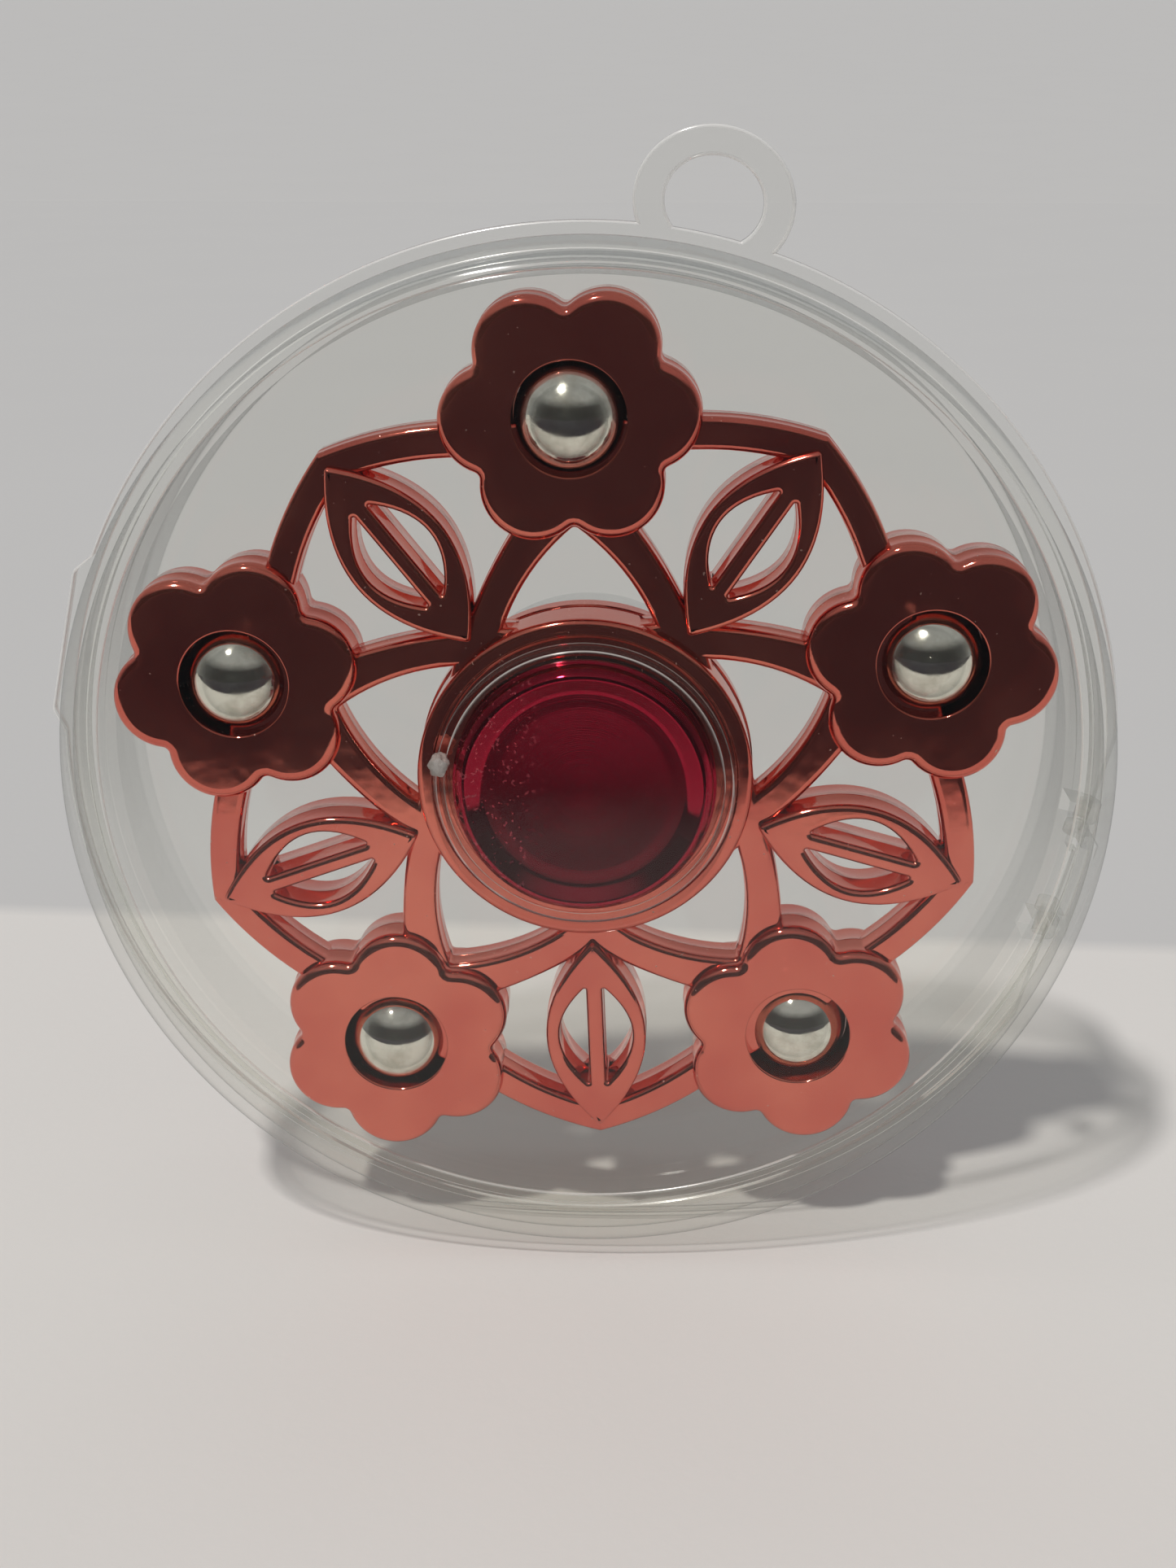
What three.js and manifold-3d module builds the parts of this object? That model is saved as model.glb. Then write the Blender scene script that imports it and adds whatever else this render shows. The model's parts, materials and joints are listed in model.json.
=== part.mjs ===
// Five-flower fidget spinner with captive steel balls, held in a clear hinged round case.
// Millimetres. The case stands on its rim: spin axis along Y, front towards -Y, +Z up.
import * as THREE from "three";
import { mergeVertices } from "three/addons/utils/BufferGeometryUtils.js";
import Module from "manifold-3d";

const wasm = await Module();
wasm.setup();

// ---- Driving dimensions: spinner body ----
const flowerCount = 5;
const flowerRadius = 33.5; // spin axis to flower centre
const petalCount = 6;
const petalReach = 6.8; // flower centre to petal centre
const petalRadius = 4.8;
const flowerThick = 6.6;
const flowerEdge = 0.9; // rounding of the flower's front and back edges
const spinnerPhase = 2.3; // degrees, first flower past straight up
const hubWall = 4.75; // hub beyond the bearing
const hubEdge = 0.8;
const latticeThick = 4.2;
const latticeEdge = 0.45;
const barWidth = 3.0; // width of the rim and arch bars
const rimRise = 4.8; // outward peaks of the rim, beyond the flower centres
const rimBow = 0.55; // how far each rim bar bows inwards
const archSpread = 6.9; // half width of an arch window where it meets the hub
const leafHalfWidth = 4.9; // open leaf ornament in each window
const leafBar = 2.1;
const leafVein = 1.6;
const leafThick = 6.0;
const leafEdge = 0.45;

// ---- Driving dimensions: loose parts ----
const ballRadius = 5.0; // steel weight balls
const ballFit = 0.05;
const ballSink = [-0.9, 0, 0, 0.7, 0.1]; // ball centres behind (+) or before (-) the mid plane
const bearingOuter = 11.0;
const bearingBore = 4.0;
const bearingWidth = 7.0;
const smallBallRadius = 1.984;
const smallBallCount = 7;
const pressFit = 0.05; // radial gap left where one part is pressed into another
const cageWall = 1.5;
const raceGap = 0.06; // radial gap between small ball and raceway
const capLip = 1.2; // cap beyond the bearing
const capRise = 2.9; // hub face to the crest of a cap
const capRim = 2.1; // width of the raised rim round a cap's dish
const capDishDepth = 1.1;

// ---- Driving dimensions: case ----
const wallThick = 1.1;
const sweepGap = 0.85; // between the turning flowers and the case wall
const coverGap = 0.4; // between the cap's crest and the front cover
const trayDepth = 11.7; // back of the flange to the back face
const flangeThick = 1.2;
const flangeLip = 3.5; // flange beyond the tray wall
const partingBack = 0.92; // front of the flange behind the spinner's mid plane
const coverStep = 1.1; // flange beyond the cover's wall
const coverRound = 3.0; // rounded front edge of the cover
const draft = 0.5; // how much the cover narrows towards the front
const spigotRise = 2.3; // tray rim that enters the cover
const spigotGap = 0.4;
const capPlay = 0.7; // between a cap and the retaining ring around it
const bossWall = 0.9; // retaining rings
const bossGap = 0.8; // from a ring's end to the hub
const caseRoll = -13.5; // degrees, direction of the hinge from +X
const hingeOut = 1.45; // hinge pin centre outside the tray wall
const hingeBack = 2.2; // hinge pin centre behind the flange
const lugRadius = 1.6;
const knuckleRadius = 1.15;
const pinRadius = 0.6;
const pinGap = 0.1;
const lugOffset = 6.3; // tangential centre of each lug
const lugWidth = 2.2;
const knuckleWidth = 1.3;
const sideGap = 0.3;
const loopTurn = 91.5; // degrees from the hinge to the hang loop
const loopOuter = [7.0, 6.3]; // half width and half height
const loopHole = [4.25, 3.75];
const loopCentre = 2.6; // loop centre outside the flange
const loopThick = 1.2;
const gateTurn = 182.5; // degrees from the hinge to the moulding gate on the front ring
const gateRadius = 1.05;
const tabTurn = 180; // degrees from the hinge to the thumb tab
const tabReach = 0.7;
const tabHalf = [7.0, 9.6]; // half lengths of the tab's outer and inner edge

// ---- Sizes that follow from the above ----
const degree = Math.PI / 180;
const pitchAngle = 360 / flowerCount;
const petalAngle = 360 / petalCount;
const sweepRadius = Math.hypot(
  flowerRadius + petalReach * Math.cos(petalAngle * 0.5 * degree),
  petalReach * Math.sin(petalAngle * 0.5 * degree),
) + petalRadius;
const bearingPitch = (bearingOuter + bearingBore) / 2; // spin axis to small ball centre
const stemRadius = bearingBore - pressFit;
const hubRadius = bearingOuter + hubWall;
const hubThick = bearingWidth;
const rimPeak = flowerRadius + rimRise;
const capRadius = bearingOuter + capLip;
const capHeight = hubThick / 2 + capRise; // mid plane to the crest of a cap
const capDish = capRadius - capRim; // radius of the dished face
const ballFront = ballRadius - Math.min(...ballSink); // foremost point of the weight balls
const trayInner = sweepRadius + sweepGap;
const trayOuter = trayInner + wallThick;
const flangeRadius = trayOuter + flangeLip;
const coverRadius = flangeRadius - coverStep; // cover wall at its open edge
const coverInner = Math.max(capHeight, ballFront) + coverGap; // from the spinner's mid plane
const coverFace = coverInner + wallThick;
const flangeFront = -partingBack;
const flangeBack = flangeFront - flangeThick;
const backFace = flangeBack - trayDepth;
const backInner = backFace + wallThick;
const coverEdge = flangeFront + sideGap; // open edge of the cover
const bossInner = capRadius + capPlay;
const bossOuter = bossInner + bossWall;
const bossFront = hubThick / 2 + bossGap;
const hingeRadius = trayOuter + hingeOut;
const hingeDepth = flangeBack - hingeBack;
const axisShift = -(coverFace + backFace) / 2; // puts the case's middle at Y = 0
const axisHeight = flangeRadius; // puts the case's lowest point at Z = 0

// ---- Helpers ----
// Parts are drawn with local +Z towards the front and local +Y up, then stood upright.
function asSolid(geometry) {
  const plain = geometry.clone();
  for (const name of ["normal", "uv"]) {
    plain.deleteAttribute(name);
  }
  const merged = mergeVertices(plain, 1e-4);
  return new wasm.Manifold(
    new wasm.Mesh({
      numProp: 3,
      vertProperties: new Float32Array(merged.attributes.position.array),
      triVerts: new Uint32Array(merged.index.array),
    }),
  );
}

function asGeometry(solid) {
  const mesh = solid.getMesh();
  const positions = new Float32Array(mesh.numVert * 3);
  for (let i = 0; i < mesh.numVert; i++) {
    const at = i * mesh.numProp;
    positions.set(mesh.vertProperties.subarray(at, at + 3), i * 3);
  }
  const geometry = new THREE.BufferGeometry();
  geometry.setAttribute("position", new THREE.BufferAttribute(positions, 3));
  geometry.setIndex(new THREE.BufferAttribute(new Uint32Array(mesh.triVerts), 1));
  return geometry;
}

// A turned shape about the local Z axis from [radius, height] pairs listed anticlockwise.
function turned(profile, segments) {
  const points = profile.map((p) => new THREE.Vector2(Math.max(p[0], 0), p[1]));
  const lathe = new THREE.LatheGeometry(points, segments);
  lathe.rotateX(Math.PI / 2);
  return asSolid(lathe);
}

function closedTurn(profile, segments) {
  return turned([...profile, profile[0]], segments);
}

function placed(geometry, x, y, z) {
  geometry.translate(x, y, z);
  return asSolid(geometry);
}

function rod(radius, z0, z1, x = 0, y = 0, segments = 32) {
  const geometry = new THREE.CylinderGeometry(radius, radius, z1 - z0, segments);
  geometry.rotateX(Math.PI / 2);
  return placed(geometry, x, y, (z0 + z1) / 2);
}

function block(x0, x1, y0, y1, z0, z1) {
  const geometry = new THREE.BoxGeometry(x1 - x0, y1 - y0, z1 - z0);
  return placed(geometry, (x0 + x1) / 2, (y0 + y1) / 2, (z0 + z1) / 2);
}

function shapeOf(points, holes = []) {
  const shape = new THREE.Shape(points.map((p) => new THREE.Vector2(p[0], p[1])));
  for (const hole of holes) {
    shape.holes.push(new THREE.Path(hole.map((p) => new THREE.Vector2(p[0], p[1]))));
  }
  return shape;
}

// A plate of the given outline, centred on the mid plane, with bevelled edges.
function plate(shape, thick, edge, steps) {
  const geometry = new THREE.ExtrudeGeometry(shape, {
    depth: thick - 2 * edge,
    bevelEnabled: edge > 0,
    bevelThickness: edge,
    bevelSize: edge,
    bevelOffset: -edge,
    bevelSegments: steps,
    steps: 1,
  });
  geometry.translate(0, 0, -thick / 2 + edge);
  return asSolid(geometry);
}

function turnBy(point, degrees) {
  const c = Math.cos(degrees * degree);
  const s = Math.sin(degrees * degree);
  return [point[0] * c - point[1] * s, point[0] * s + point[1] * c];
}

function arc(cx, cy, radius, from, to, steps) {
  const points = [];
  for (let i = 0; i <= steps; i++) {
    const a = (from + ((to - from) * i) / steps) * degree;
    points.push([cx + radius * Math.cos(a), cy + radius * Math.sin(a)]);
  }
  return points;
}

// Points from a to b along a shallow curve that leaves the chord by sag to its left.
function bowed(a, b, sag, steps) {
  const points = [];
  const dx = b[0] - a[0];
  const dy = b[1] - a[1];
  const length = Math.hypot(dx, dy);
  for (let i = 0; i <= steps; i++) {
    const t = i / steps;
    const off = 4 * sag * t * (1 - t);
    points.push([a[0] + dx * t - (dy / length) * off, a[1] + dy * t + (dx / length) * off]);
  }
  return points;
}

function mirrored(points) {
  return points.map((p) => [p[0], -p[1]]).reverse();
}

function turnedPoints(points, degrees) {
  return points.map((p) => turnBy(p, degrees));
}

// ---- Spinner body: drawn with the first flower along local +X ----
function flowerOutline() {
  // Neighbouring petals cross at this angle from each petal's own direction.
  const halfGap = petalReach * Math.sin(petalAngle * 0.5 * degree);
  const crossing = petalAngle / 2 + Math.asin(halfGap / petalRadius) / degree;
  const reach = crossing - 6;
  const outline = [];
  for (let k = 0; k < petalCount; k++) {
    const a = petalAngle * (k + 0.5);
    const centre = turnBy([petalReach, 0], a);
    outline.push(...arc(centre[0], centre[1], petalRadius, a - reach, a + reach, 6));
  }
  return outline;
}

function latticeShape() {
  const mid = pitchAngle / 2;
  const peak = turnBy([rimPeak, 0], mid);
  const rimFoot = [flowerRadius - 0.3, flowerRadius * 0.31];
  const innerPeak = turnBy([rimPeak - barWidth, 0], mid);
  const innerFoot = [rimFoot[0] - barWidth, rimFoot[1] - 0.9];
  const notch = turnBy([hubRadius + 1.95, 0], mid);
  const archFoot = [flowerRadius - 9.2, 5.0];
  const outer = [];
  const holes = [];
  for (let k = 0; k < flowerCount; k++) {
    const half = bowed(rimFoot, peak, -rimBow, 4);
    const other = turnedPoints(mirrored(half), pitchAngle);
    outer.push(...turnedPoints([...half, ...other.slice(1)], pitchAngle * k));
    const side = [
      ...bowed(notch, archFoot, 0.35, 4),
      [flowerRadius - 6.5, 3.6],
      [flowerRadius - 3.4, 6.4],
      ...bowed(innerFoot, innerPeak, -rimBow, 4),
    ];
    const twin = turnedPoints(mirrored(side), pitchAngle);
    holes.push(turnedPoints([...side, ...twin.slice(1, -1)], pitchAngle * k));
    const apex = [flowerRadius - 9.7, 0];
    const flank = bowed(apex, [hubRadius - 1.2, archSpread], -0.8, 5);
    holes.push(turnedPoints([...mirrored(flank), ...flank.slice(1)], pitchAngle * k));
  }
  return shapeOf(outer, holes);
}

function leafShape() {
  const mid = pitchAngle / 2;
  const inner = hubRadius + 1.0;
  const outer = rimPeak - 1.2;
  const half = (outer - inner) / 2;
  const centre = (outer + inner) / 2;
  const side = (reach, width, steps) => bowed([centre + reach, 0], [centre - reach, 0], -width, steps);
  const upper = side(half, leafHalfWidth, 8);
  const outline = [...upper, ...mirrored(upper).slice(1, -1)];
  const opening = side(half - leafBar * 2.3, leafHalfWidth - leafBar, 6);
  const slot = opening.map((p) => [p[0], p[1] + leafVein / 2]);
  const facing = mirrored(slot);
  return shapeOf(turnedPoints(outline, mid), [turnedPoints(slot, mid), turnedPoints(facing, mid)]);
}

function spinnerBody() {
  const top = hubThick / 2;
  const hub = turned(
    [
      [0, -top],
      [hubRadius - hubEdge, -top],
      [hubRadius - hubEdge * 0.3, -top + hubEdge * 0.3],
      [hubRadius, -top + hubEdge],
      [hubRadius, top - hubEdge],
      [hubRadius - hubEdge * 0.3, top - hubEdge * 0.3],
      [hubRadius - hubEdge, top],
      [0, top],
    ],
    48,
  );
  const flower = plate(shapeOf(flowerOutline()), flowerThick, flowerEdge, 2);
  const leaf = plate(leafShape(), leafThick, leafEdge, 1);
  let body = hub.add(plate(latticeShape(), latticeThick, latticeEdge, 1));
  for (let k = 0; k < flowerCount; k++) {
    body = body.add(flower.translate([flowerRadius, 0, 0]).rotate([0, 0, pitchAngle * k]));
    body = body.add(leaf.rotate([0, 0, pitchAngle * k]));
  }
  body = body.subtract(rod(bearingOuter + pressFit, -hubThick, hubThick, 0, 0, 48));
  const bore = rod(ballRadius + ballFit, -hubThick, hubThick, flowerRadius, 0, 32);
  for (let k = 0; k < flowerCount; k++) {
    body = body.subtract(bore.rotate([0, 0, pitchAngle * k]));
  }
  return body;
}

function sphere(radius, detail) {
  return asSolid(new THREE.IcosahedronGeometry(radius, detail));
}

// ---- Bearing: two grooved rings, small balls in a crown cage, two shields ----
function grooveSide(radius, groove, outwards, steps) {
  const points = [];
  const reach = Math.acos((Math.abs(radius - bearingPitch)) / groove) / degree;
  for (let i = 0; i <= steps; i++) {
    const a = (-reach + (2 * reach * i) / steps) * degree;
    points.push([bearingPitch + outwards * groove * Math.cos(a), groove * Math.sin(a)]);
  }
  return points;
}

const halfWidth = bearingWidth / 2;
const grooveRadius = smallBallRadius + raceGap;
const innerLand = bearingPitch - smallBallRadius * 0.75;
const outerLand = bearingPitch + smallBallRadius * 0.75;
const shieldBack = halfWidth - 0.5;
const shieldSeat = 0.75; // ledge that holds a shield in the outer ring

function innerRing() {
  const groove = grooveSide(innerLand, grooveRadius, -1, 5);
  const profile = [
    [bearingBore, -halfWidth],
    [innerLand, -halfWidth],
    ...groove,
    [innerLand, halfWidth],
    [bearingBore, halfWidth],
  ];
  return closedTurn(profile, 36);
}

function outerRing() {
  const groove = grooveSide(outerLand, grooveRadius, 1, 5).reverse();
  const seat = outerLand + shieldSeat;
  const step = shieldBack - pressFit;
  const profile = [
    [bearingOuter, -halfWidth],
    [bearingOuter, halfWidth],
    [seat, halfWidth],
    [seat, step],
    [outerLand, step],
    ...groove,
    [outerLand, -step],
    [seat, -step],
    [seat, -halfWidth],
  ];
  return closedTurn(profile, 42);
}

function cage() {
  const inside = bearingPitch - cageWall / 2;
  const outside = bearingPitch + cageWall / 2;
  const web = smallBallRadius + 0.75;
  const lip = 0.9;
  let ring = closedTurn([[inside, -lip], [outside, -lip], [outside, web], [inside, web]], 35);
  const pocket = sphere(smallBallRadius + 0.2, 1).translate([bearingPitch, 0, 0]);
  for (let k = 0; k < smallBallCount; k++) {
    ring = ring.subtract(pocket.rotate([0, 0, (360 / smallBallCount) * k]));
  }
  return ring;
}

function shield(side) {
  const inside = innerLand + 0.25;
  const outside = outerLand + shieldSeat - pressFit;
  const z0 = shieldBack;
  const z1 = shieldBack + 0.3;
  const disc = closedTurn([[inside, z0], [outside, z0], [outside, z1], [inside, z1]], 36);
  return side > 0 ? disc : disc.rotate([180, 0, 0]);
}

// ---- Caps: dished discs whose stems press into the bearing bore ----
function cap(side) {
  const seat = halfWidth + pressFit;
  const under = hubThick / 2 + 0.45;
  const crest = capHeight;
  const profile = [
    [0, 0.1],
    [stemRadius - 0.3, 0.1],
    [stemRadius, 0.4],
    [stemRadius, seat],
    [innerLand - 0.2, seat],
    [innerLand + 0.6, under],
    [capRadius, under],
    [capRadius, under + 0.45],
    [capRadius - 0.45, under + 0.75],
    [capRadius - 0.5, crest - 0.9],
    [capRadius - 0.85, crest - 0.25],
    [capRadius - 1.4, crest],
    [capDish, crest - 0.35],
    [capDish * 0.8, crest - capDishDepth * 0.78],
    [capDish * 0.4, crest - capDishDepth],
    [0, crest - capDishDepth - 0.05],
  ];
  const disc = turned(profile, 36);
  return side > 0 ? disc : disc.rotate([180, 0, 0]);
}

// ---- Case: cover and tray, drawn with the hinge along local +X ----
function roundedCorner(radius, face, round, steps) {
  const points = [];
  const sign = Math.sign(face);
  for (let i = 0; i <= steps; i++) {
    const a = ((90 * i) / steps) * degree;
    points.push([radius - round * (1 - Math.cos(a)), face - sign * round * (1 - Math.sin(a))]);
  }
  return points;
}

function hingeRod(radius, from, to, segments) {
  const geometry = new THREE.CylinderGeometry(radius, radius, to - from, segments);
  return placed(geometry, hingeRadius, (from + to) / 2, hingeDepth);
}

const knuckleCentre = lugOffset - lugWidth / 2 - sideGap - knuckleWidth / 2;

function caseFront() {
  const outerTop = coverRadius - draft;
  const innerTop = outerTop - wallThick;
  const shell = turned(
    [
      [0, coverInner],
      ...roundedCorner(innerTop, coverInner, coverRound - wallThick, 3).reverse(),
      [coverRadius - wallThick - 0.1, coverEdge],
      [coverRadius, coverEdge],
      ...roundedCorner(outerTop, coverFace, coverRound, 4),
      [0, coverFace],
    ],
    64,
  );
  const boss = closedTurn(
    [
      [bossInner, bossFront],
      [bossOuter, bossFront],
      [bossOuter, coverInner + 0.3],
      [bossInner, coverInner + 0.3],
    ],
    48,
  );
  const gateAt = turnBy([bossOuter - 0.35, 0], gateTurn);
  const gateMark = rod(gateRadius, bossFront, coverInner + 0.3, gateAt[0], gateAt[1], 16);
  let body = shell.add(boss).add(gateMark);
  const armInner = coverRadius - wallThick + 0.1;
  for (const side of [-1, 1]) {
    const y = side * knuckleCentre;
    const half = knuckleWidth / 2;
    const arm = block(armInner, coverRadius - 0.15, y - half, y + half, hingeDepth, coverEdge + 2);
    const knuckle = hingeRod(knuckleRadius, y - half, y + half, 24);
    const reach = half + sideGap + lugWidth;
    const pin = hingeRod(pinRadius, side > 0 ? y : y - reach, side > 0 ? y + reach : y, 20);
    body = body.add(arm).add(knuckle).add(pin);
  }
  return body;
}

function ellipsePoints(centre, halves, steps) {
  const points = [];
  for (let i = 0; i < steps; i++) {
    const a = (i / steps) * 360 * degree;
    points.push([centre + halves[1] * Math.cos(a), halves[0] * Math.sin(a)]);
  }
  return points;
}

function hangLoop() {
  const centre = flangeRadius + loopCentre;
  const ring = shapeOf(ellipsePoints(centre, loopOuter, 36), [ellipsePoints(centre, loopHole, 28)]);
  const solid = plate(ring, loopThick, 0, 0).translate([0, 0, flangeBack + loopThick / 2]);
  const inside = rod(flangeRadius - 0.6, flangeBack - 1, flangeFront + 1, 0, 0, 72);
  return solid.subtract(inside).rotate([0, 0, loopTurn]);
}

function thumbTab() {
  const inner = flangeRadius - 1.4;
  const outline = [
    [inner, -tabHalf[1]],
    [flangeRadius + tabReach, -tabHalf[0]],
    [flangeRadius + tabReach, tabHalf[0]],
    [inner, tabHalf[1]],
  ];
  const solid = plate(shapeOf(outline), flangeThick, 0, 0);
  return solid.translate([0, 0, flangeBack + flangeThick / 2]).rotate([0, 0, tabTurn]);
}

function caseBack() {
  const spigot = flangeFront + spigotRise;
  const spigotOuter = coverRadius - wallThick - 0.1 - spigotGap;
  const spigotInner = spigotOuter - wallThick;
  const corner = 2 * wallThick;
  const shell = turned(
    [
      [0, backFace],
      ...roundedCorner(trayOuter, backFace, corner, 4).reverse(),
      [trayOuter, flangeBack],
      [flangeRadius, flangeBack],
      [flangeRadius, flangeFront],
      [spigotOuter, flangeFront],
      [spigotOuter, spigot],
      [spigotInner, spigot],
      [spigotInner, flangeFront - 0.4],
      [trayInner, flangeBack],
      ...roundedCorner(trayInner, backInner, corner - wallThick, 2),
      [0, backInner],
    ],
    64,
  );
  const boss = closedTurn(
    [
      [bossInner, backInner - 0.3],
      [bossOuter, backInner - 0.3],
      [bossOuter, -bossFront],
      [bossInner, -bossFront],
    ],
    48,
  );
  // The flange is cut back to a flat beside the hinge, so the cover can swing past it.
  const flat = block(hingeRadius - 0.35, flangeRadius + 1, -20, 20, flangeBack - 0.5, flangeFront + 0.2);
  let body = shell.add(boss).subtract(flat);
  for (const side of [-1, 1]) {
    const y = side * lugOffset;
    const half = lugWidth / 2;
    const lug = hingeRod(lugRadius, y - half, y + half, 28);
    const low = hingeDepth - lugRadius;
    const root = block(trayOuter - 0.9, hingeRadius, y - half, y + half, low, flangeBack + 0.2);
    body = body.add(lug).add(root.subtract(rod(trayInner + 0.2, -30, 30, 0, 0, 80)));
    const hole = hingeRod(pinRadius + pinGap, y - half - 1, y + half + 1, 20);
    body = body.subtract(hole);
    const k = side * knuckleCentre;
    const room = knuckleWidth / 2 + sideGap;
    const near = trayOuter + 0.15;
    const notch = block(near, flangeRadius + 1, k - room, k + room, flangeBack - 0.3, flangeFront + 1);
    const swing = hingeRod(knuckleRadius + sideGap, k - room, k + room, 24);
    body = body.subtract(notch).subtract(swing);
  }
  return body.add(thumbTab()).add(hangLoop());
}

// ---- Assembly ----
const spinnerMaterial = { color: 0xa3463c, metalness: 0.9, roughness: 0.18 };
const steelMaterial = { color: 0xc9c8c2, metalness: 1, roughness: 0.12 };
const capMaterial = { color: 0x8e1830, metalness: 0.85, roughness: 0.25 };
const clearMaterial = { color: 0xeef1f1, metalness: 0, roughness: 0.08, transparent: true, opacity: 0.3 };
const cageMaterial = { color: 0x8c7a4a, metalness: 0.6, roughness: 0.4 };

const root = new THREE.Group();
root.name = "fidget_spinner_in_case";

function addPiece(name, solid, look, turn) {
  const mesh = new THREE.Mesh(asGeometry(solid.rotate([0, 0, turn])), new THREE.MeshStandardMaterial(look));
  mesh.name = name;
  mesh.geometry.rotateX(Math.PI / 2);
  mesh.geometry.translate(0, -axisShift, axisHeight);
  root.add(mesh);
}

const spinnerTurn = 90 + spinnerPhase;
addPiece("case_back", caseBack(), clearMaterial, caseRoll);
addPiece("case_front", caseFront(), clearMaterial, caseRoll);
addPiece("spinner_body", spinnerBody(), spinnerMaterial, spinnerTurn);
for (let k = 0; k < flowerCount; k++) {
  const at = turnBy([flowerRadius, 0], pitchAngle * k);
  const ball = sphere(ballRadius, 3).translate([at[0], at[1], -ballSink[k]]);
  addPiece("weight_ball_" + (k + 1), ball, steelMaterial, spinnerTurn);
}
addPiece("bearing_outer_ring", outerRing(), steelMaterial, 0);
addPiece("bearing_inner_ring", innerRing(), steelMaterial, 0);
addPiece("bearing_cage", cage(), cageMaterial, 0);
for (let k = 0; k < smallBallCount; k++) {
  const at = turnBy([bearingPitch, 0], (360 / smallBallCount) * k);
  const ball = sphere(smallBallRadius, 2).translate([at[0], at[1], 0]);
  addPiece("bearing_ball_" + (k + 1), ball, steelMaterial, 0);
}
addPiece("bearing_shield_front", shield(1), steelMaterial, 0);
addPiece("bearing_shield_rear", shield(-1), steelMaterial, 0);
addPiece("cap_front", cap(1), capMaterial, 0);
addPiece("cap_rear", cap(-1), capMaterial, 0);

export default root;
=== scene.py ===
import json
import math

import bmesh
import bpy
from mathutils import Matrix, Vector, geometry, noise

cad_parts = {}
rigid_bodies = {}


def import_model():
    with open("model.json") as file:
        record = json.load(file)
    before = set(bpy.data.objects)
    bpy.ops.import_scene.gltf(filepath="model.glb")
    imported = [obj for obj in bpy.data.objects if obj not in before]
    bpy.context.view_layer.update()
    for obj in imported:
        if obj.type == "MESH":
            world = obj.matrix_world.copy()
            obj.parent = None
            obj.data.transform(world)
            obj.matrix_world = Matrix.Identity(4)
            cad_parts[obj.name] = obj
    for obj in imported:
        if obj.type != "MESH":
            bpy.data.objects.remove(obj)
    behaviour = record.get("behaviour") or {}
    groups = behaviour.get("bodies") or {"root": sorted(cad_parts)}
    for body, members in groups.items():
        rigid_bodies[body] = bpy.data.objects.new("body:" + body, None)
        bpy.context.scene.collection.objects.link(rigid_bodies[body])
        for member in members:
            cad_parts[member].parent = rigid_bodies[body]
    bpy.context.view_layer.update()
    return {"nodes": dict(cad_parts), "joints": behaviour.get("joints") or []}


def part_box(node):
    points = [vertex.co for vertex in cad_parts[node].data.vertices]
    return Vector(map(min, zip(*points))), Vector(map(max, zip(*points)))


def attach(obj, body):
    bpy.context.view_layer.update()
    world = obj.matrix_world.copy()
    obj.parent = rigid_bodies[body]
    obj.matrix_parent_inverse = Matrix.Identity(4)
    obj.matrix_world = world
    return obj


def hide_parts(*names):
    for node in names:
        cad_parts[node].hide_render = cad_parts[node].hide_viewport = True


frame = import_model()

mm = 0.001

jointsByName = {j["name"]: j for j in frame["joints"]}
spinCentre = Vector(jointsByName["hub_spin"]["pos_m"])
hingePoint = Vector(jointsByName["lid_hinge"]["pos_m"])
hingeAxis = Vector(jointsByName["lid_hinge"]["axis"]).normalized()


def boxCentre(node):
    low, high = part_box(node)
    return (low + high) / 2


def angleOf(point):  # direction round the spin axis, in degrees from +X
    return math.degrees(math.atan2(point.z - spinCentre.z, point.x - spinCentre.x))


arms = 5
armTurn = 360 / arms  # degrees from one flower to the next
ballNodes = ["weight_ball_%d" % (k + 1) for k in range(arms)]
flowerTurns = [angleOf(boxCentre(node)) for node in ballNodes]
flowerReach = (boxCentre("weight_ball_2") - spinCentre).xz.length / mm
hingeTurn = angleOf(hingePoint)


# Shapes are drawn in mm round the spin axis: x right, y up, z towards the front.

def toRow(x, y, z):
    return (spinCentre.x + x * mm, spinCentre.y - z * mm, spinCentre.z + y * mm)


def turnPoint(point, degrees):
    c, s = math.cos(math.radians(degrees)), math.sin(math.radians(degrees))
    return (point[0] * c - point[1] * s, point[0] * s + point[1] * c)


def turnPoints(points, degrees):
    return [turnPoint(p, degrees) for p in points]


def mirrorPoints(points):
    return [(p[0], -p[1]) for p in reversed(points)]


def arcPoints(cx, cy, radius, start, end, steps):
    found = []
    for i in range(steps + 1):
        a = math.radians(start + (end - start) * i / steps)
        found.append((cx + radius * math.cos(a), cy + radius * math.sin(a)))
    return found


def bowPoints(a, b, sag, steps):  # a shallow curve that leaves the chord by sag to its left
    dx, dy = b[0] - a[0], b[1] - a[1]
    length = math.hypot(dx, dy)
    found = []
    for i in range(steps + 1):
        t = i / steps
        off = 4 * sag * t * (1 - t)
        found.append((a[0] + dx * t - dy / length * off, a[1] + dy * t + dx / length * off))
    return found


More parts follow.
